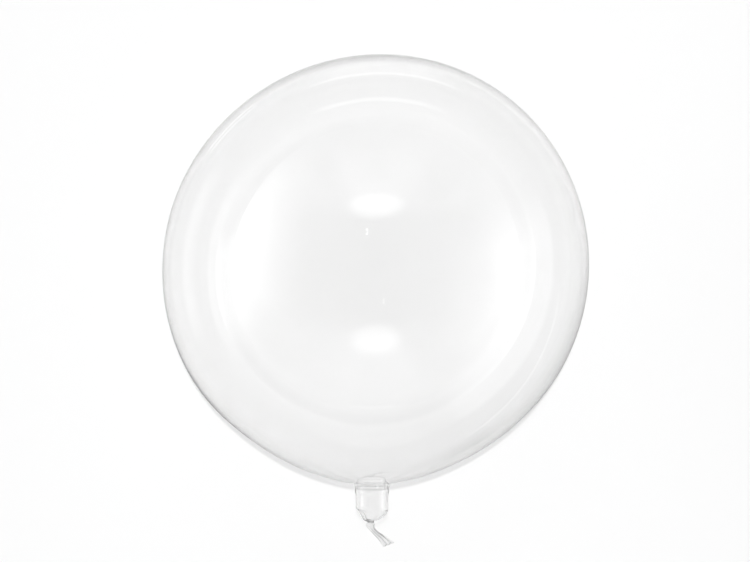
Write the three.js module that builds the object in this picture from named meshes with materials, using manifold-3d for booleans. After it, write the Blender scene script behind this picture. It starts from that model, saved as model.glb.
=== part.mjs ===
// Clear bubble balloon, blown up, tied off in its own neck and lying on its side.
//
// The whole balloon is one blown film: an almost round bubble, a short straight neck below a
// welded collar, the neck's end gathered into a small knot, and the loose end as a pleated tail.
// It holds air and has no opening, so it is one closed solid.
//
// Millimetres, +Z up. The origin is the middle of the small flat spot that the bubble rests on.
// The neck points along -Y, level with the middle of the bubble.

import * as THREE from 'three';
import { mergeVertices } from 'three/addons/utils/BufferGeometryUtils.js';
import Module from 'manifold-3d';

const wasm = await Module();
wasm.setup();

// Driving dimensions of the bubble
const bubbleDiameter = 400;
const restSpotRadius = 19;
const ovalShare = 0.0095;
const neckDrawShare = 0.021;
const flankDipShare = 0.007;

// Driving dimensions of the neck
const neckDiameter = 29.6;
const collarDiameter = 32;
const collarWidth = 5.4;
const neckLength = 23.7;
const neckWaist = 0.25;
const neckOffset = -3.3;
const gatherLength = 10.9;
const gatherLean = -2.1;
const pleatCount = 9;
const pleatDepth = 0.75;

// Driving dimensions of the knot and the tail
const ropeDiameter = 4.4;
const knotDiameter = 7.4;
const knotThickness = 3.6;
const knotTilt = -16;
const tailReach = 21.5;
const tailMouthWidth = 9.2;
const tailFoldWidth = 7.4;
const tailPinchWidth = 4.4;
const tailThickness = 1.1;

// Facets
const bubbleSides = 72;
const bubbleRows = 40;
const neckSides = 45;
const tailSteps = 22;
const tailStrips = 10;

const bubbleRadius = bubbleDiameter / 2;
const centreHeight = Math.sqrt(bubbleRadius ** 2 - restSpotRadius ** 2);
const jointDistance = bubbleRadius * (1 + neckDrawShare);
const knotDistance = jointDistance + neckLength + gatherLength;
const degree = Math.PI / 180;

const filmMaterial = new THREE.MeshStandardMaterial({
  name: 'clear_film',
  color: 0xeef1f2,
  roughness: 0.04,
  metalness: 0,
  transparent: true,
  opacity: 0.35,
});

// Closed geometry to solid, by its shared corners
function solidFrom(geometry) {
  geometry.deleteAttribute('normal');
  geometry.deleteAttribute('uv');
  const merged = mergeVertices(geometry, 1e-4);
  return new wasm.Manifold(new wasm.Mesh({
    numProp: 3,
    vertProperties: new Float32Array(merged.getAttribute('position').array),
    triVerts: new Uint32Array(merged.getIndex().array),
  }));
}

// Solid back to geometry
function geometryFrom(solid) {
  const mesh = solid.getMesh();
  const geometry = new THREE.BufferGeometry();
  geometry.setAttribute('position', new THREE.BufferAttribute(mesh.vertProperties, 3));
  geometry.setIndex(new THREE.BufferAttribute(mesh.triVerts, 1));
  geometry.computeVertexNormals();
  return geometry;
}

// Moves every corner of a geometry by a rule
function shapeBy(geometry, rule) {
  const position = geometry.getAttribute('position');
  const corner = new THREE.Vector3();
  for (let i = 0; i < position.count; i += 1) {
    corner.fromBufferAttribute(position, i);
    rule(corner);
    position.setXYZ(i, corner.x, corner.y, corner.z);
  }
  return geometry;
}

function hump(distance, halfWidth) {
  return Math.exp(-((distance / halfWidth) ** 2));
}

// Distance from the middle to the film, by the angle from the pole opposite the neck.
// The film is drawn out a little towards the neck, and the belt before it is a little flatter.
function filmDistance(angle) {
  const toNeck = 180 - angle / degree;
  const drawnOut = neckDrawShare * hump(toNeck, 17);
  const flatter = flankDipShare * hump(toNeck - 35, 21);
  return bubbleRadius * (1 + drawnOut - flatter);
}

// The bubble: turned about the neck's axis, then stretched along one diagonal of the film
function bubble() {
  const profile = [];
  for (let row = 0; row <= bubbleRows; row += 1) {
    const angle = Math.PI * (1 - row / bubbleRows);
    const reach = filmDistance(angle);
    const across = row === 0 || row === bubbleRows ? 0 : reach * Math.sin(angle);
    profile.push(new THREE.Vector2(across, reach * Math.cos(angle)));
  }
  const turned = new THREE.LatheGeometry(profile, bubbleSides);
  return shapeBy(turned, (corner) => {
    const { x, y } = corner;
    corner.x += ovalShare * y;
    corner.y += ovalShare * x;
  });
}

// Radius of the collar bead, by the share of its width from the bubble to the neck
function collarRadius(share) {
  const crease = neckDiameter / 2 - 0.35;
  const rise = collarDiameter / 2 - crease;
  return crease + rise * Math.sin(Math.PI * share) ** 0.6;
}

// Radius of the straight neck, very slightly waisted
function neckRadius(share) {
  return neckDiameter / 2 - neckWaist * Math.sin(Math.PI * share) ** 2;
}

// Radius of the gathered end, closing from the neck to the rope of film inside the knot
function gatherRadius(share) {
  const closed = ropeDiameter / 2;
  return closed + (neckDiameter / 2 - closed) * (1 - share ** 1.25);
}

// The neck: collar, straight neck and gathered end, turned about one axis.
// The gathered end is pleated around and leans to one side.
function neck() {
  const inside = 9;
  const knotDepth = 2;
  const profile = [];
  const ring = (radius, distance) => profile.push(new THREE.Vector2(radius, -distance));
  ring(0, knotDistance + knotDepth);
  ring(ropeDiameter / 2, knotDistance + knotDepth);
  const gatherRows = 7;
  for (let row = gatherRows; row > 0; row -= 1) {
    const share = row / gatherRows;
    ring(gatherRadius(share), knotDistance - gatherLength * (1 - share));
  }
  const straightLength = neckLength - collarWidth;
  const straightRows = 4;
  for (let row = straightRows; row > 0; row -= 1) {
    const share = row / straightRows;
    ring(neckRadius(share), jointDistance + collarWidth + straightLength * share);
  }
  const collarRows = 6;
  for (let row = collarRows; row >= 0; row -= 1) {
    const share = row / collarRows;
    ring(collarRadius(share), jointDistance + collarWidth * share);
  }
  ring(collarRadius(0), jointDistance - inside);
  ring(0, jointDistance - inside);
  const turned = new THREE.LatheGeometry(profile, neckSides);
  return shapeBy(turned, (corner) => {
    const along = (-corner.y - (knotDistance - gatherLength)) / gatherLength;
    const share = THREE.MathUtils.clamp(along, 0, 1);
    const radius = Math.hypot(corner.x, corner.z);
    if (radius > 0) {
      const around = Math.atan2(corner.z, corner.x);
      const pleat = pleatDepth * share * (1.15 - share) * Math.cos(pleatCount * around);
      const scale = (radius + pleat) / radius;
      corner.x *= scale;
      corner.z *= scale;
    }
    corner.x += neckOffset + gatherLean * share ** 2 + 1.2 * Math.sin(Math.PI * share);
  });
}

// The knot: one turn of the twisted film around the gathered end, tilted
function knot() {
  const tube = knotThickness / 2;
  const turn = new THREE.TorusGeometry(knotDiameter / 2 - tube, tube, 8, 18);
  turn.rotateX(90 * degree);
  turn.rotateZ(knotTilt * degree);
  turn.translate(neckOffset + gatherLean, -knotDistance, 0);
  return turn;
}

// The tail: a flat strip of film, folded over at the knot, pinched, and opening to its cut end
function tail() {
  const startX = neckOffset + gatherLean;
  const at = (across, down, up) => new THREE.Vector3(
    startX + across * tailReach,
    -knotDistance - down * tailReach,
    up * tailReach,
  );
  const path = new THREE.CatmullRomCurve3([
    at(0, 0.02, 0),
    at(-0.02, 0.2, 0.05),
    at(0.22, 0.43, 0.03),
    at(0.5, 0.68, -0.04),
    at(0.8, 1, -0.12),
  ]);
  const widths = new THREE.CatmullRomCurve3([
    new THREE.Vector3(0, ropeDiameter, 0),
    new THREE.Vector3(0.2, tailFoldWidth, 0),
    new THREE.Vector3(0.45, tailPinchWidth, 0),
    new THREE.Vector3(0.72, 0.62 * tailMouthWidth, 0),
    new THREE.Vector3(1, tailMouthWidth, 0),
  ]);
  const strip = new THREE.BoxGeometry(1, 1, 1, tailStrips, 1, tailSteps);
  const up = new THREE.Vector3(0, 0, 1);
  return shapeBy(strip, (corner) => {
    const along = corner.z + 0.5;
    const across = corner.x;
    const centre = path.getPointAt(along);
    const ahead = path.getTangentAt(along);
    const side = new THREE.Vector3().crossVectors(up, ahead).normalize();
    const face = new THREE.Vector3().crossVectors(ahead, side).normalize();
    const roll = 35 * degree * Math.sin(Math.PI * along);
    side.applyAxisAngle(ahead, roll);
    face.applyAxisAngle(ahead, roll);
    const width = widths.getPoint(along).y;
    const pleat = 0.9 * (0.35 + 0.65 * along) * Math.cos(5 * Math.PI * across);
    const out = pleat + tailThickness * corner.y;
    corner.copy(centre).addScaledVector(side, across * width).addScaledVector(face, out);
  });
}

// The ground that the film lies flat against, taken off the bubble
function ground() {
  const span = bubbleDiameter;
  const block = new THREE.BoxGeometry(span, span, span);
  block.translate(0, 0, -centreHeight - span / 2);
  return block;
}

const film = solidFrom(bubble())
  .add(solidFrom(neck()))
  .add(solidFrom(knot()))
  .add(solidFrom(tail()))
  .subtract(solidFrom(ground()));

const balloon = new THREE.Mesh(geometryFrom(film), filmMaterial);
balloon.name = 'balloon';
balloon.position.z = centreHeight;

const part = new THREE.Group();
part.name = 'bubble_balloon';
part.add(balloon);

export default part;
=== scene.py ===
import math

import bpy
import numpy as np
from mathutils import Matrix, Vector


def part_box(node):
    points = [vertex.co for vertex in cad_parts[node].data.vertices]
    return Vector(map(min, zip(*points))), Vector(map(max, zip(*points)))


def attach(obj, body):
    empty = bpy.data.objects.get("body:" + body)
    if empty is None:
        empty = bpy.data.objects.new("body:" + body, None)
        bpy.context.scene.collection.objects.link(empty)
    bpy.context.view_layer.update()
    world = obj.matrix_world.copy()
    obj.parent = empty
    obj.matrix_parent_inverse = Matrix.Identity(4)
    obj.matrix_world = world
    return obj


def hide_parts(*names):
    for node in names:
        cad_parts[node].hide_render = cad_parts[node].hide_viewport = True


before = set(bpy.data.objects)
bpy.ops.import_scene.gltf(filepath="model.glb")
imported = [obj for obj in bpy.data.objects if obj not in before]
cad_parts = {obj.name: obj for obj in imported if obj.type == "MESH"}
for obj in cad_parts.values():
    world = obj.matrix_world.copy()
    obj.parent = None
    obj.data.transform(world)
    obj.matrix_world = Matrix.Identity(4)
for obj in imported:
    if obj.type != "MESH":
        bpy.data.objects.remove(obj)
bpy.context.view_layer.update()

# The bubble and its neck: one blown film of clear plastic, a twentieth of a millimetre thick in
# the real thing, made here as a thicker shell with an outer and an inner face. The bubble swells
# out of a welded collar, and the neck below it is a short tube that is gathered into the knot.

low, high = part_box("balloon")
bubble_radius = (high.x - low.x) / 2
middle = Vector(((high.x + low.x) / 2, high.y - bubble_radius, high.z - bubble_radius))
film_wall = 0.00025
neck_wall = 0.0006
thicker_from = 0.001
thicker_to = 0.009

# The bubble's roundness, in shares of its radius with widths in degrees. A swell is a bearing
# seen from above, 0 opposite the neck, with its half width and its height.
oval_share = 0.0095
film_growth = 1.001
film_draw = 0.0165
draw_width = 17
flank_dip = 0.007
flank_from_neck = 35
flank_width = 21
film_swells = [(24, 34, 0.0048), (217, 13, -0.0095), (290, 16, 0.003)]

# The collar and the straight neck, by their distance past the joint with the bubble
joint_draw = 0.021
joint_distance = bubble_radius * (1 + joint_draw)
fillet_from = 174.4
fillet_lift = 0.0003
fillet_end = 0.0006
collar_radius = 0.0161
collar_rows_end = 0.0066
collar_taper_start = 0.006
collar_taper_end = 0.0102
weld_line = 0.003
weld_width = 0.0012
weld_groove = 0.0002
neck_radius = 0.0152
neck_shift = -0.0035
neck_blend = 0.014
straight_end = 0.0237
bend_start = straight_end - 0.0008
bend_end = straight_end + 0.0014

# The gathered end: pleats all round, one deeper fold, and a lean to one side
gather_length = 0.0109
gather_taper = 0.62
gather_lean = -0.0021
gather_sway = 0.0012
gather_slant = 0.0009
slant_reach = 0.006
pleat_count = 9
pleat_depth = 0.0008
pleat_end = 1.15
axis_fade = 0.006
fold_bearing = 141
fold_width = 9
fold_depth = 0.0012
rope_radius = 0.0022
rope_tip = 0.0006
knot_distance = joint_distance + straight_end + gather_length

# Puckers that run from the collar into the bubble
pucker_count = 13
pucker_drift = 1.4
wide_pucker = 0.00035
wide_reach = 0.016
close_pucker = 0.0004
close_reach = 0.004
pucker_fade = 0.001
pucker_end = 0.0046


def hump(distance, half_width):
    return np.exp(-((distance / half_width) ** 2))


def smooth_step(low_end, high_end, value):
    share = np.clip((value - low_end) / (high_end - low_end), 0, 1)
    return share * share * (3 - 2 * share)


def film_distance(angle):
    """Distance from the middle to the film, by the angle from the pole opposite the neck."""
    to_neck = 180 - np.degrees(angle)
    drawn_out = film_draw * hump(to_neck, draw_width)
    flatter = flank_dip * hump(to_neck - flank_from_neck, flank_width)
    return bubble_radius * (1 + drawn_out - flatter)


def neck_profile():
    """Radius and distance of the neck's outer face, from the end of the fillet to the knot."""
    stations = [(fillet_end, collar_rows_end, 30), (collar_rows_end, bend_start, 16),
                (bend_start, bend_end, 8), (bend_end, straight_end + gather_length, 26)]
    along = np.concatenate([np.linspace(start, end, count)[1:] for start, end, count in stations])
    to_neck = smooth_step(collar_taper_start, collar_taper_end, along)
    radius = collar_radius + (neck_radius - collar_radius) * to_neck
    radius = radius - weld_groove * hump(along - weld_line, weld_width)
    closing = np.clip((along - straight_end) / gather_length, 0, 1)
    closed = (1 - gather_taper * closing) * np.sqrt(1 - closing ** 6)
    gathered = rope_radius + (neck_radius - rope_radius) * closed
    return np.where(closing > 0, gathered, radius), joint_distance + along


def film_profile():
    """Radius and distance along the neck's axis of the whole outer face, pole to knot."""
    fine_from = 135
    wide = np.radians(np.linspace(0, fine_from, 76))
    near = np.radians(np.linspace(fine_from, fillet_from, 58))[1:]
    angle = np.concatenate([wide, near])
    reach = film_distance(angle)
    radius, distance = reach * np.sin(angle), -reach * np.cos(angle)
    share = np.linspace(0, 1, 12)[1:]
    fillet_radius = radius[-1] * (1 - share) ** 2 + collar_radius * (1 - (1 - share) ** 2)
    fillet_distance = (distance[-1] * (1 - share) ** 2
                       + (distance[-1] + fillet_lift) * 2 * share * (1 - share)
                       + (joint_distance + fillet_end) * share ** 2)
    neck = neck_profile()
    return (np.concatenate([radius, fillet_radius, neck[0]]),
            np.concatenate([distance, fillet_distance, neck[1]]))


def film_growth_at(x, y, z, neck_part):
    """How far the film stands out at each point of the bubble, as a factor."""
    growth = film_growth
    for bearing, half_width, height in film_swells:
        towards = x * math.sin(math.radians(bearing)) + y * math.cos(math.radians(bearing))
        away = np.degrees(np.arccos(towards / np.sqrt(x ** 2 + y ** 2 + z ** 2)))
        growth = growth + (1 - neck_part) * height * hump(away, half_width)
    return growth


def film_surface(radius, distance, sides):
    """Points of one face of the film, one ring for each point of the profile."""
    ring_radius = radius[:, None]
    past_joint = distance[:, None] - joint_distance
    turn = np.linspace(0, 2 * math.pi, sides, endpoint=False)[None, :]
    drawn = (wide_pucker * hump(past_joint + pucker_fade, wide_reach)
             + close_pucker * hump(past_joint, close_reach))
    pucker_wave = np.cos(pucker_count * turn + pucker_drift * np.sin(2 * turn))
    pucker = drawn * smooth_step(pucker_end, pucker_fade, past_joint) * pucker_wave
    closing = np.clip((past_joint - straight_end) / gather_length, 0, 1)
    bulge = np.sin(math.pi * closing)
    pleat = pleat_depth * closing * (pleat_end - closing) * np.cos(pleat_count * turn)
    pleat = pleat - fold_depth * bulge * hump(np.degrees(turn) - fold_bearing, fold_width)
    reach = ring_radius + (pucker + pleat) * smooth_step(0, axis_fade, ring_radius)
    slant = gather_slant * hump(past_joint - straight_end, slant_reach)
    x = reach * np.cos(turn)
    y = slant * (1 - np.cos(turn)) - distance[:, None]
    z = reach * np.sin(turn)
    neck_part = smooth_step(-neck_blend, 0, past_joint)
    growth = film_growth_at(x, y, z, neck_part)
    x, y, z = x * growth, y * growth, z * growth
    shift = neck_shift + gather_lean * closing ** 2 + gather_sway * bulge
    x, y = (x + (1 - neck_part) * oval_share * y + neck_part * shift,
            y + (1 - neck_part) * oval_share * x)
    above = z + middle.z
    lying_softness = 0.0004
    z = 0.5 * (above + np.sqrt(above ** 2 + lying_softness ** 2))
    return np.stack([x + middle.x, y + middle.y, z], axis=-1)


def tube_faces(rings, sides, first, flip):
    """Four-sided faces between rings of points."""
    faces = []
    for ring in range(rings - 1):
        for side in range(sides):
            a = first + ring * sides + side
            b = first + ring * sides + (side + 1) % sides
            quad = (a, b, b + sides, a + sides)
            faces.append(quad[::-1] if flip else quad)
    return faces


def smooth_mesh(name, points, faces):
    mesh = bpy.data.meshes.new(name)
    mesh.from_pydata(points, [], faces)
    mesh.polygons.foreach_set("use_smooth", [True] * len(mesh.polygons))
    mesh.update()
    return mesh


def film_mesh(name):
    """The shell: both faces of the film, each closed at the far pole and inside the knot."""
    sides = 208
    radius, distance = film_profile()
    slope_radius = np.gradient(radius)
    slope_distance = np.gradient(distance)
    length = np.hypot(slope_radius, slope_distance)
    thicker = smooth_step(joint_distance + thicker_from, joint_distance + thicker_to, distance)
    wall = film_wall + (neck_wall - film_wall) * thicker
    inner_radius = radius - wall * slope_distance / length
    inner_distance = distance + wall * slope_radius / length
    points, faces = [], []
    for face_radius, face_distance, inner in ((radius, distance, False),
                                              (inner_radius, inner_distance, True)):
        rings = film_surface(face_radius[1:], face_distance[1:], sides)
        first = len(points)
        points.extend(rings.reshape(-1, 3).tolist())
        faces.extend(tube_faces(len(rings), sides, first, inner))
        pole = rings[0].mean(axis=0)
        pole[1] = pole[1] + face_distance[1] - face_distance[0]
        tip = rings[-1].mean(axis=0)
        tip[1] = middle.y - (face_distance[-1] + rope_tip)
        for ring, centre in ((0, pole), (len(rings) - 1, tip)):
            points.append(centre.tolist())
            hub = len(points) - 1
            for side in range(sides):
                a = first + ring * sides + side
                b = first + ring * sides + (side + 1) % sides
                outward = (ring == 0) != inner
                faces.append((hub, b, a) if outward else (hub, a, b))
    return smooth_mesh(name, points, faces)


class Shade:
    """A socket of a node tree that sums, products and powers can be written with."""

    def __init__(self, tree, socket=None):
        self.tree = tree
        self.socket = socket

    def node(self, kind, settings=None, sockets=None, out=0):
        made = self.tree.nodes.new(kind)
        for key, value in (settings or {}).items():
            if key == "stops":
                while len(made.color_ramp.elements) < len(value):
                    made.color_ramp.elements.new(1.0)
                for element, (place, colour) in zip(made.color_ramp.elements, value):
                    element.position = place
                    element.color = colour
            else:
                setattr(made, key, value)
        for key, value in (sockets or {}).items():
            if isinstance(value, Shade):
                self.tree.links.new(value.socket, made.inputs[key])
            else:
                made.inputs[key].default_value = value
        return Shade(self.tree, made.outputs[out])

    def math(self, operation, first, second=0.0, third=0.0):
        return self.node("ShaderNodeMath", {"operation": operation}, {0: first, 1: second, 2: third})

    def __add__(self, other):
        return self.math("ADD", self, other)

    def __sub__(self, other):
        return self.math("SUBTRACT", self, other)

    def __rsub__(self, other):
        return self.math("SUBTRACT", other, self)

    def __mul__(self, other):
        return self.math("MULTIPLY", self, other)

    def __rtruediv__(self, other):
        return self.math("DIVIDE", other, self)

    def __pow__(self, other):
        return self.math("POWER", self, other)

    __radd__ = __add__
    __rmul__ = __mul__


def new_material(name):
    material = bpy.data.materials.new(name)
    material.use_nodes = True
    material.node_tree.nodes.clear()
    return material, Shade(material.node_tree)


def finish_with(shade, surface, kind="ShaderNodeOutputMaterial"):
    output = shade.tree.nodes.new(kind)
    shade.tree.links.new(surface.socket, output.inputs["Surface"])


def grey(level):
    return (level, level, level, 1)


def soft_edge(shade, value, start, end):
    """0 up to start, 1 from end on, and smooth between; start may be above end."""
    return shade.node("ShaderNodeMapRange", {"interpolation_type": "SMOOTHSTEP"},
                      {"Value": value, "From Min": start, "From Max": end})


def mix_colour(shade, factor, first, second):
    return shade.node("ShaderNodeMix", {"data_type": "RGBA"},
                      {"Factor": factor, "A": first, "B": second}, out=2)


def clear_film(name, roughness, ripple, clearness, edge):
    """Clear blown film: sees through, with a faint haze and ripple, a denser ring where it is
    welded at the collar, fine creases where it runs in to the neck, and painted shade edge-on:
    its colour greys where the film is seen edge-on, on the neck's thicker film and at the bubble's rim."""
    material, shade = new_material(name)
    place = shade.node("ShaderNodeTexCoord", out="Object")
    along = shade.node("ShaderNodeSeparateXYZ", sockets={0: place}, out="Y")
    haze = shade.node("ShaderNodeTexNoise", sockets={"Vector": place, "Scale": 22.0, "Detail": 3.0})
    grain = shade.node("ShaderNodeTexNoise", sockets={"Vector": place, "Scale": 9.0, "Detail": 1.0})
    folds = shade.node("ShaderNodeTexNoise", {"noise_type": "RIDGED_MULTIFRACTAL"},
                       {"Vector": place, "Scale": 34.0, "Detail": 2.0})

    weld_place = middle.y - joint_distance - weld_line
    weld_grey = 0.78
    from_weld = (along - weld_place) * (1 / weld_width)
    weld = shade.math("EXPONENT", from_weld * from_weld * -1)
    plain = mix_colour(shade, haze, grey(clearness - 0.01), grey(clearness))
    colour = mix_colour(shade, weld, plain, grey(weld_grey))

    # Painted shade: the colour greys towards the edge grey where the film is seen edge-on, past the weld
    # on the neck and, more steeply, at the bubble's rim
    neck_edge_power = 2.2
    rim_edge_power = 14
    rim_edge_share = 0.9
    slanted = shade.node("ShaderNodeLayerWeight", sockets={"Blend": 0.5}, out="Facing")
    past_weld = soft_edge(shade, along, weld_place + 0.001, weld_place - 0.001)
    painted_edge_shade = slanted ** neck_edge_power * past_weld + slanted ** rim_edge_power * rim_edge_share
    colour = mix_colour(shade, painted_edge_shade, colour, grey(edge))

    crease_place = middle + Vector((0.055, -0.15, 0.12))
    crease_height = 0.05
    from_creases = shade.node("ShaderNodeVectorMath", {"operation": "DISTANCE"},
                              {0: place, 1: crease_place}, out="Value")
    creased = soft_edge(shade, from_creases, 0.075, 0.02)
    height = grain * ripple + folds * creased * crease_height
    bump = shade.node("ShaderNodeBump", sockets={"Strength": 1.0, "Distance": 0.002, "Height": height})
    film = shade.node("ShaderNodeBsdfPrincipled", sockets={
        "Base Color": colour, "Roughness": roughness * (0.5 + haze), "IOR": 1.5,
        "Transmission Weight": 1.0, "Normal": bump})
    clear = shade.node("ShaderNodeBsdfTransparent", sockets={"Color": grey(1)})
    shadow_ray = shade.node("ShaderNodeLightPath", out="Is Shadow Ray")
    finish_with(shade, shade.node("ShaderNodeMixShader", sockets={0: shadow_ray, 1: film, 2: clear}))
    return material


def put_in_place(name, mesh, material):
    """A dressed piece that stands for the balloon's solid."""
    piece = bpy.data.objects.new(name, mesh)
    bpy.context.scene.collection.objects.link(piece)
    piece.data.materials.append(material)
    return piece


bubble = put_in_place("bubble_film", film_mesh("bubble_film"),
                      clear_film("clear_film", roughness=0.02, ripple=0.02, clearness=1.0, edge=0.76))
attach(bubble, "root")
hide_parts("balloon")

# The knot and the tail: the neck's film twisted to a rope, tied round itself, and its loose end, a
# flattened tube of film that folds over the knot, is pinched once and opens to a pleated cut end.

knot_radius = 0.0041
knot_tube = 0.0011
knot_tilt = math.radians(-16)
strand_depth = 0.09
fine_strand_depth = 0.05
knot_place = Vector((middle.x + neck_shift + gather_lean, middle.y - knot_distance, middle.z))

# The tail's course, in shares of its reach: across, down and up; then its width along the course
tail_reach = 0.0215
tail_stops = [(0.06, 0.05, 0), (0.03, 0.2, 0.05), (0.2, 0.45, 0.03), (0.49, 0.71, -0.04),
              (0.83, 1.04, -0.12)]
tail_widths = [(0, 0.0066), (0.2, 0.0088), (0.42, 0.0062), (0.7, 0.0070), (1, 0.0098)]
tail_roll = math.radians(35)
tail_gap = 0.0008
tail_wall = 0.0003
tail_pleat = 0.0008
pleat_waves = 2.5
crinkle_share = 0.4
crinkle_waves = 9
tail_slant = 0.0022


def smooth_curve(stops, count):
    """A smooth curve through the stops, as count points."""
    stops = np.array(stops, dtype=float)
    padded = np.vstack([2 * stops[0] - stops[1], stops, 2 * stops[-1] - stops[-2]])
    place = np.linspace(0, len(stops) - 1 - 1e-9, count)
    first = place.astype(int)
    t = (place - first)[:, None]
    a, b, c, d = (padded[first + step] for step in range(4))
    return 0.5 * (2 * b + (c - a) * t + (2 * a - 5 * b + 4 * c - d) * t ** 2
                  + (3 * b - a - 3 * c + d) * t ** 3)


def unit(vectors):
    return vectors / np.linalg.norm(vectors, axis=1, keepdims=True)


def tail_rings(shrink, steps, sides):
    """Rings of points of the flattened, pleated tube; shrink moves them inwards."""
    course = smooth_curve(tail_stops, steps) * tail_reach
    centre = np.array(knot_place) + course * np.array([1, -1, 1])
    widths = smooth_curve(tail_widths, 200)
    along = np.linspace(0, 1, steps)
    width = np.interp(along, widths[:, 0], widths[:, 1])
    ahead = unit(np.gradient(centre, axis=0))
    across = unit(np.cross([0.0, 0.0, 1.0], ahead))
    face = np.cross(ahead, across)
    roll = tail_roll * np.sin(math.pi * along)[:, None]
    across, face = (across * np.cos(roll) + face * np.sin(roll),
                    face * np.cos(roll) - across * np.sin(roll))
    turn = np.linspace(0, 2 * math.pi, sides, endpoint=False)[None, :]
    side = np.cos(turn) * (1 - 3 * shrink / width)[:, None]
    depth = (tail_pleat * (0.4 + 0.6 * along))[:, None]
    crinkle = crinkle_share * np.cos(crinkle_waves * side + 2 + 5 * along[:, None])
    lift = depth * (np.cos(pleat_waves * math.pi * side) + crinkle)
    lift = lift + (tail_gap - shrink) * np.sin(turn)
    slanted_cut = (tail_slant * side * (along ** 3)[:, None])[:, :, None] * ahead[:, None, :]
    return (centre[:, None, :] + slanted_cut
            + (0.5 * width[:, None] * side)[:, :, None] * across[:, None, :]
            + lift[:, :, None] * face[:, None, :])


def knot_rings(turns, sides):
    """Rings of points of one turn of twisted film, closed on itself."""
    major = np.linspace(0, 2 * math.pi, turns, endpoint=False)[:, None]
    minor = np.linspace(0, 2 * math.pi, sides, endpoint=False)[None, :]
    twist = (strand_depth * np.cos(4 * minor + 3 * major)
             + fine_strand_depth * np.cos(7 * minor - 2 * major))
    tube = knot_tube * (1 + twist)
    reach = knot_radius - knot_tube + tube * np.cos(minor)
    points = np.stack([reach * np.cos(major), tube * np.sin(minor), reach * np.sin(major)], axis=-1)
    lean = np.array(Matrix.Rotation(knot_tilt, 3, "Z"))
    return points @ lean.T + np.array(knot_place)


def knot_and_tail_mesh(name):
    """The tail as a tube with a wall of its own, open-ended but for its cut edges, and the knot."""
    steps, sides = 90, 120
    outer = tail_rings(0.0, steps, sides)
    inner = tail_rings(tail_wall, steps, sides)
    inner_first = steps * sides
    faces = tube_faces(steps, sides, 0, False) + tube_faces(steps, sides, inner_first, True)
    for row, flip in ((0, True), (steps - 1, False)):
        for side in range(sides):
            a = row * sides + side
            b = row * sides + (side + 1) % sides
            quad = (a, b, b + inner_first, a + inner_first)
            faces.append(quad[::-1] if flip else quad)
    turns, knot_sides = 72, 40
    knot_first = 2 * inner_first
    faces += tube_faces(turns, knot_sides, knot_first, False)
    last = knot_first + (turns - 1) * knot_sides
    for side in range(knot_sides):
        following = (side + 1) % knot_sides
        faces.append((last + side, last + following, knot_first + following, knot_first + side))
    knot = knot_rings(turns, knot_sides)
    points = np.vstack([rings.reshape(-1, 3) for rings in (outer, inner, knot)])
    return smooth_mesh(name, points.tolist(), faces)


tail = put_in_place("knot_and_tail", knot_and_tail_mesh("knot_and_tail"),
                    clear_film("creased_film", roughness=0.08, ripple=0.3, clearness=0.98, edge=0.78))
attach(tail, "root")
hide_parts("balloon")

# The studio above: a dark ceiling over the balloon with one small soft light, tall soft boxes at
# its left and right, and light walls that are brighter on the side away from the neck. The film
# mirrors all of this. It is painted on the world, all round the balloon.

# A place in it is named by the direction half-way between straight up and that place. Its share
# is 0 straight above and 0.707 at the horizon, and its bearing is 0 on the side off the neck.
horizon = 0.707
neck_bearing = 170
neck_spread = 50


def ramp(shade, value, stops):
    levels = [(place, grey(level)) for place, level in stops]
    return shade.node("ShaderNodeValToRGB", {"stops": levels}, {"Fac": value})


def between(shade, value, low_start, low_end, high_start, high_end):
    """1 from low_end to high_start, and falling smoothly to 0 outside."""
    return soft_edge(shade, value, low_start, low_end) * soft_edge(shade, value, high_end, high_start)


def off_bearing(shade, bearing, centre):
    """Signed angle from the centre's bearing in degrees to a bearing in radians."""
    return shade.math("WRAP", bearing - math.radians(centre), math.pi, -math.pi)


def bearing_hump(shade, bearing, centre, half_width):
    """1 at one bearing and falling off round it, as a bell; degrees."""
    off = off_bearing(shade, bearing, centre)
    return shade.math("EXPONENT", off * off * (-1 / math.radians(half_width) ** 2))


def bearing_window(shade, bearing, centre, half_width, softness):
    """1 within half_width of a bearing, with soft ends; degrees."""
    size = shade.math("ABSOLUTE", off_bearing(shade, bearing, centre))
    outer = math.radians(half_width + softness / 2)
    inner = math.radians(half_width - softness / 2)
    return soft_edge(shade, size, outer, inner)


def polar(shade, place):
    """Side, far, distance from the middle and bearing of a place or direction."""
    parts = shade.node("ShaderNodeSeparateXYZ", sockets={0: place})
    side = Shade(shade.tree, parts.socket.node.outputs["X"])
    far = Shade(shade.tree, parts.socket.node.outputs["Y"])
    return side, far, shade.math("SQRT", side * side + far * far), shade.math("ARCTAN2", side, far)


def light_path(shade, kind):
    return shade.node("ShaderNodeLightPath", out=kind)


world = bpy.data.worlds.new("studio")
bpy.context.scene.world = world
world.use_nodes = True
world.node_tree.nodes.clear()
shade = Shade(world.node_tree)
direction = shade.node("ShaderNodeTexCoord", out="Generated")
raised = shade.node("ShaderNodeVectorMath", {"operation": "ADD"}, {0: direction, 1: (0, 0, 1)})
halfway = shade.node("ShaderNodeVectorMath", {"operation": "NORMALIZE"}, {0: raised})
side, far, share, bearing = polar(shade, halfway)

# Light that has passed the film more than three times comes from its far side
walls_within = shade.math("GREATER_THAN", light_path(shade, "Transmission Depth"), 3.5)

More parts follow.
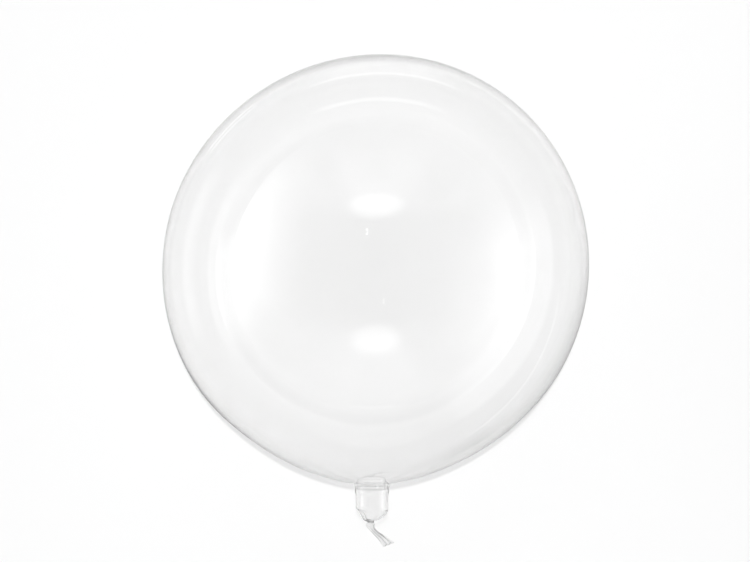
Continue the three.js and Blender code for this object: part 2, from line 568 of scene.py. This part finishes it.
# The walls, with a few greyer patches: bearing, half width, first and last share, depth
towards_neck = bearing_hump(shade, bearing, neck_bearing, neck_spread)
far_walls = ramp(shade, share, [(0, 0.07), (0.25, 0.1), (0.35, 0.26), (0.45, 0.37), (0.6, 0.5),
                                (0.65, 0.66), (horizon, 0.78)])
near_walls = ramp(shade, share, [(0, 0.07), (0.25, 0.1), (0.35, 0.26), (0.45, 0.35), (0.55, 0.3),
                                 (0.65, 0.2), (horizon, 0.16)])
walls = far_walls * (1 - towards_neck) + near_walls * towards_neck
far_corner = soft_edge(shade, share, 0.65, 0.69) * bearing_hump(shade, bearing, 352, 30) * 0.25
near_corner = soft_edge(shade, share, 0.5, 0.6) * bearing_hump(shade, bearing, 220, 14) * 0.3
walls = walls * (1 - far_corner - near_corner)
wall_patches = [(138, 14, 0.36, 0.54, 0.45), (95, 28, 0.34, 0.48, 0.3), (230, 14, 0.4, 0.6, 0.3),
                (318, 12, 0.34, 0.66, 0.4), (0, 12, 0.32, 0.56, 0.3)]
for centre, half_width, first, last, depth in wall_patches:
    patch = between(shade, share, first - 0.05, first + 0.03, last - 0.03, last + 0.05)
    walls = walls * (1 - patch * bearing_hump(shade, bearing, centre, half_width) * depth)

# The ceiling, its two corners that reach out to the far side, a post, and a doorway near the neck
ceiling = (between(shade, far, -0.33, -0.24, 0.22, 0.3)
           * between(shade, side, -0.42, -0.28, 0.36, 0.48))
post = between(shade, share, 0.38, 0.46, 0.56, 0.7) * bearing_window(shade, bearing, 212, 14, 14)
left_ear = between(shade, share, 0.24, 0.3, 0.48, 0.64) * bearing_window(shade, bearing, 333, 7, 7)
right_ear = between(shade, share, 0.24, 0.3, 0.44, 0.54) * bearing_window(shade, bearing, 35, 9, 7)
dark = shade.math("MAXIMUM", shade.math("MAXIMUM", ceiling, post * 0.6) * 0.7,
                  shade.math("MAXIMUM", left_ear, right_ear) * 0.6)
doorway = (between(shade, far, -0.62, -0.45, -0.3, -0.24)
           * between(shade, side, -0.28, -0.22, 0.17, 0.22) * 0.1)

# The two tall soft boxes; the film's far side shows less of their near ends
box_light = 0.8
right_box_gain = 0.4
near_end_loss = 0.6
slant = side - 0.28 * far
top_fade = soft_edge(shade, side - 0.58 * far, -0.69, -0.77) * soft_edge(shade, far, 0.05, 0.2)
left_box = (soft_edge(shade, slant, -0.34, -0.64) * soft_edge(shade, share, 0.79, 0.76)
            * (1 - 0.9 * top_fade) * between(shade, far, -0.42, -0.18, 0.36, 0.56) * box_light
            * (1 - near_end_loss * walls_within * soft_edge(shade, far, -0.05, -0.2)))
right_box = (soft_edge(shade, share - 0.1 * bearing, 0.31, 0.47) * soft_edge(shade, share, 0.83, 0.79)
             * bearing_window(shade, bearing, 112, 37, 26)
             * (box_light + right_box_gain * bearing_hump(shade, bearing, 116, 22))
             * (1 - near_end_loss * walls_within * soft_edge(shade, bearing, 1.85, 2.25)))

# The soft light overhead: a bright oval with a halo
lamp_side = -0.004
lamp_far = 0.274
lamp_far_within = 0.08
core_half_width = 0.1
core_half_depth = 0.046
core_stretch_within = 0.45
core_light = 1.15
halo_off_core = 0.04
halo_half_width = 0.17
halo_half_depth = 0.095
halo_light = 0.35
across_lamp = side - lamp_side
along_lamp = far - lamp_far - lamp_far_within * walls_within
along_halo = along_lamp - halo_off_core
core = (across_lamp * across_lamp * (1 / core_half_width ** 2)
        + along_lamp * along_lamp * (1 / core_half_depth ** 2) * (1 - core_stretch_within * walls_within))
halo = (across_lamp * across_lamp * (1 / halo_half_width ** 2)
        + along_halo * along_halo * (1 / halo_half_depth ** 2))
top_light = (soft_edge(shade, core, 2.4, 0.2) * core_light
             + soft_edge(shade, halo, 1.0, 0.0) * halo_light)

# A thin line of light low on the near wall, and two pin-points of light
low_line = (between(shade, share, 0.632, 0.64, 0.648, 0.656)
            * bearing_window(shade, bearing, 180, 10, 6) * 0.3 * (1 - walls_within))
level = walls * (1 - dark) + doorway + left_box + right_box + top_light + low_line
pin_side = -0.043
pin_radius = 0.006
pin_light = 4
for pin_far in (0.151, 0.169):
    across_pin = side - pin_side
    along_pin = far - pin_far
    from_pin = across_pin * across_pin + along_pin * along_pin
    level = level + soft_edge(shade, from_pin, pin_radius ** 2, (pin_radius / 2) ** 2) * pin_light
less_on_floor = 0.34
strength = 1 - less_on_floor * light_path(shade, "Is Diffuse Ray")
finish_with(shade, shade.node("ShaderNodeBackground", sockets={"Color": level, "Strength": strength}),
            "ShaderNodeOutputWorld")

# The floor: a wide white board that the balloon lies on. It is plain white to the eye, and to rays
# that the film mirrors it shows a painted reflection instead: a greyer tone, a painted glow of the boxes,
# some painted fine lines of light and a few patches of painted shade, laid out by nearness: 1 right under
# the bubble's rim and 0 far away.

floor_reach = 8.0
floor_drop = -0.0004
floor_white = 0.85

floor_mesh = bpy.data.meshes.new("floor")
floor_corners = [(-floor_reach, -floor_reach), (floor_reach, -floor_reach),
                 (floor_reach, floor_reach), (-floor_reach, floor_reach)]
floor_mesh.from_pydata([(x, y, floor_drop) for x, y in floor_corners], [], [(0, 1, 2, 3)])
floor = bpy.data.objects.new("floor", floor_mesh)
bpy.context.scene.collection.objects.link(floor)
floor_material, shade = new_material("pale_floor")
side, far, distance, bearing = polar(shade, shade.node("ShaderNodeTexCoord", out="Object"))
nearness = bubble_radius / distance
towards_neck = bearing_hump(shade, bearing, neck_bearing, neck_spread)

# Painted reflection: the tone that rays mirrored by the film see on the floor, greyer towards the neck
far_painted_reflection = ramp(shade, nearness, [(0, 0.35), (0.1, 0.47), (0.2, 0.67), (0.3, 0.84), (0.37, 0.95),
                                   (0.45, 0.95), (0.56, 0.82), (0.67, 0.85), (0.78, 0.78), (1, 0.72)])
near_painted_reflection = ramp(shade, nearness, [(0, 0.08), (0.16, 0.1), (0.26, 0.15), (0.37, 0.25), (0.45, 0.35),
                                    (0.56, 0.55), (0.67, 0.7), (0.78, 0.75), (1, 0.7)])
painted_reflection_tone = far_painted_reflection * (1 - towards_neck) + near_painted_reflection * towards_neck
# Patches of painted shade in that painted reflection
shaded = (between(shade, nearness, 0.3, 0.5, 0.9, 1.1) * bearing_hump(shade, bearing, 115, 26) * 0.4
          + soft_edge(shade, nearness, 0.55, 0.75) * bearing_hump(shade, bearing, 235, 22) * 0.6
          + between(shade, nearness, 0.32, 0.42, 0.48, 0.56) * bearing_hump(shade, bearing, 152, 11) * 0.8
          + between(shade, nearness, 0.48, 0.55, 0.66, 0.75) * bearing_hump(shade, bearing, 355, 34) * 0.4)
painted_reflection_tone = painted_reflection_tone * (1 - shaded)

# Painted glow of the soft boxes, then painted bands and fine lines of light: nearness, bearing, half
# width, softness, light
left_glow = soft_edge(shade, nearness, 0.11, 0.07) * bearing_window(shade, bearing, 273, 30, 26) * 0.7
right_glow = soft_edge(shade, nearness, 0.19, 0.14) * bearing_window(shade, bearing, 110, 39, 22) * 0.8
far_glow = between(shade, nearness, 0.15, 0.25, 0.4, 0.55) * bearing_hump(shade, bearing, 350, 45) * 0.12
painted_reflection_tone = painted_reflection_tone + right_glow + left_glow
light_lines = [((0.31, 0.325, 0.335, 0.35), (2, 22, 14), 0.5),
               ((0.069, 0.081, 0.089, 0.116), (0, 20, 14), 0.9),
               ((0.27, 0.33, 0.42, 0.5), (2, 18, 18), 0.3),
               ((0.17, 0.24, 0.27, 0.34), (276, 26, 18), 0.35)]
for edges, place, light in light_lines:
    painted_reflection_tone = painted_reflection_tone + between(shade, nearness, *edges) * bearing_window(shade, bearing, *place) * light
# Painted fine lines of light in the reflection: one slanted on the right and two on the left
along_painted_light_line = nearness - 0.12 * (bearing - 1.75)
right_painted_light_line = (between(shade, along_painted_light_line, 0.23, 0.24, 0.248, 0.258)
              * bearing_window(shade, bearing, 125, 24, 12))
left_painted_light_lines = ((between(shade, nearness, 0.45, 0.462, 0.47, 0.482)
               + between(shade, nearness, 0.5, 0.512, 0.52, 0.532))
              * bearing_window(shade, bearing, 314, 9, 5))
painted_line_light = 0.5
painted_reflection_tone = painted_reflection_tone + right_painted_light_line * painted_line_light + left_painted_light_lines * painted_line_light + far_glow

white = shade.node("ShaderNodeBsdfDiffuse", sockets={"Color": grey(floor_white)})
painted_reflection_emission = shade.node("ShaderNodeEmission", sockets={"Color": painted_reflection_tone})
mirrored = light_path(shade, "Is Reflection Ray")
paint = shade.node("ShaderNodeMixShader", sockets={
    0: mirrored * soft_edge(shade, nearness, 1.05, 1.0), 1: white, 2: painted_reflection_emission})

# Painted shade in the reflection: the film's two sides show the floor dimmer, its far side all round and
# its near side by the neck
mirrored_once = (shade.math("GREATER_THAN", light_path(shade, "Glossy Depth"), 0.5)
                 * shade.math("LESS_THAN", light_path(shade, "Diffuse Depth"), 0.5))
passes = light_path(shade, "Transmission Depth")
floor_within = mirrored_once * shade.math("GREATER_THAN", passes, 3.5)
floor_in_front = mirrored_once * shade.math("LESS_THAN", passes, 3.5)
far_dim = ramp(shade, nearness, [(0, 0.2), (0.2, 0.4), (0.5, 0.6), (0.8, 0.35), (1, 0)])
near_dim = ramp(shade, nearness, [(0, 0.75), (0.3, 0.5), (0.5, 0.05), (1, 0)])
front_dim = soft_edge(shade, nearness, 0.35, 0.1) * towards_neck * floor_in_front * 0.6
painted_dimming = ((far_dim * (1 - towards_neck) + near_dim * towards_neck) * floor_within
          + front_dim * (1 - mirrored))
black = shade.node("ShaderNodeEmission", sockets={"Color": grey(0)})
finish_with(shade, shade.node("ShaderNodeMixShader", sockets={0: painted_dimming, 1: paint, 2: black}))
floor_mesh.materials.append(floor_material)

# The lamps: an even fill from straight above that casts no shadow, and a key light beside the
# camera that casts the faint ring. The film doesn't mirror them; it mirrors the studio instead.

lens = 85.0
sensor = 36.0
view_width = 0.7087
camera_distance = view_width * lens / sensor
aim = Vector((-0.0007, middle.y - 0.0119, middle.z))
fill_strength = 2.205
key_power = 42.0
key_place = (0, aim.y + 0.056, middle.z + 1.03 * camera_distance)


def add_lamp(name, kind, place, power, **settings):
    """A lamp at a place, turned to the spot that the balloon rests on."""
    lamp = bpy.data.lights.new(name, kind)
    lamp.energy = power
    for key, value in settings.items():
        setattr(lamp, key, value)
    light = bpy.data.objects.new(name, lamp)
    light.location = place
    light.rotation_euler = (-Vector(place)).to_track_quat("-Z", "Y").to_euler()
    bpy.context.scene.collection.objects.link(light)
    for kind_of_ray in ("camera", "glossy", "transmission"):
        setattr(light, "visible_" + kind_of_ray, False)


add_lamp("overhead_fill", "SUN", (0, 0, 3), fill_strength, angle=0.01, use_shadow=False)
add_lamp("overhead_key", "SPOT", key_place, key_power,
         spot_size=math.radians(50), spot_blend=0.5, shadow_soft_size=0.01)

# The ring of shade: the film thins the light where it passes edge-on, so a faint ring lies on the
# floor. It is cast by a copy of the film that nothing sees but the light, denser edge-on.

ring_sides = 160
ring_narrowing = 0.988
ring_power = 2.8
radius, distance = film_profile()
rings = film_surface(radius[1:], distance[1:], ring_sides)
ring_mesh = smooth_mesh("shadow_ring", rings.reshape(-1, 3).tolist(),
                        tube_faces(len(rings), ring_sides, 0, False))
shadow_ring = bpy.data.objects.new("shadow_ring", ring_mesh)
shadow_ring.scale.x = ring_narrowing
bpy.context.scene.collection.objects.link(shadow_ring)
for kind_of_ray in ("camera", "diffuse", "glossy", "transmission", "volume_scatter"):
    setattr(shadow_ring, "visible_" + kind_of_ray, False)
ring_material, shade = new_material("edge_shadow")
facing = shade.node("ShaderNodeLayerWeight", sockets={"Blend": 0.5}, out="Facing")
lit = shade.node("ShaderNodeBsdfTransparent")
shut = shade.node("ShaderNodeBsdfDiffuse", sockets={"Color": grey(0)})
finish_with(shade, shade.node("ShaderNodeMixShader", sockets={0: facing ** ring_power, 1: lit, 2: shut}))
ring_mesh.materials.append(ring_material)

# The camera: it looks straight down on the balloon as it lies, with the neck at the lower edge.

camera_data = bpy.data.cameras.new("camera")
camera_data.lens = lens
camera_data.sensor_width = sensor
camera = bpy.data.objects.new("camera", camera_data)
camera.location = aim + Vector((0, 0, camera_distance))
bpy.context.scene.collection.objects.link(camera)
bpy.context.scene.camera = camera
bpy.context.scene.view_settings.view_transform = "Standard"
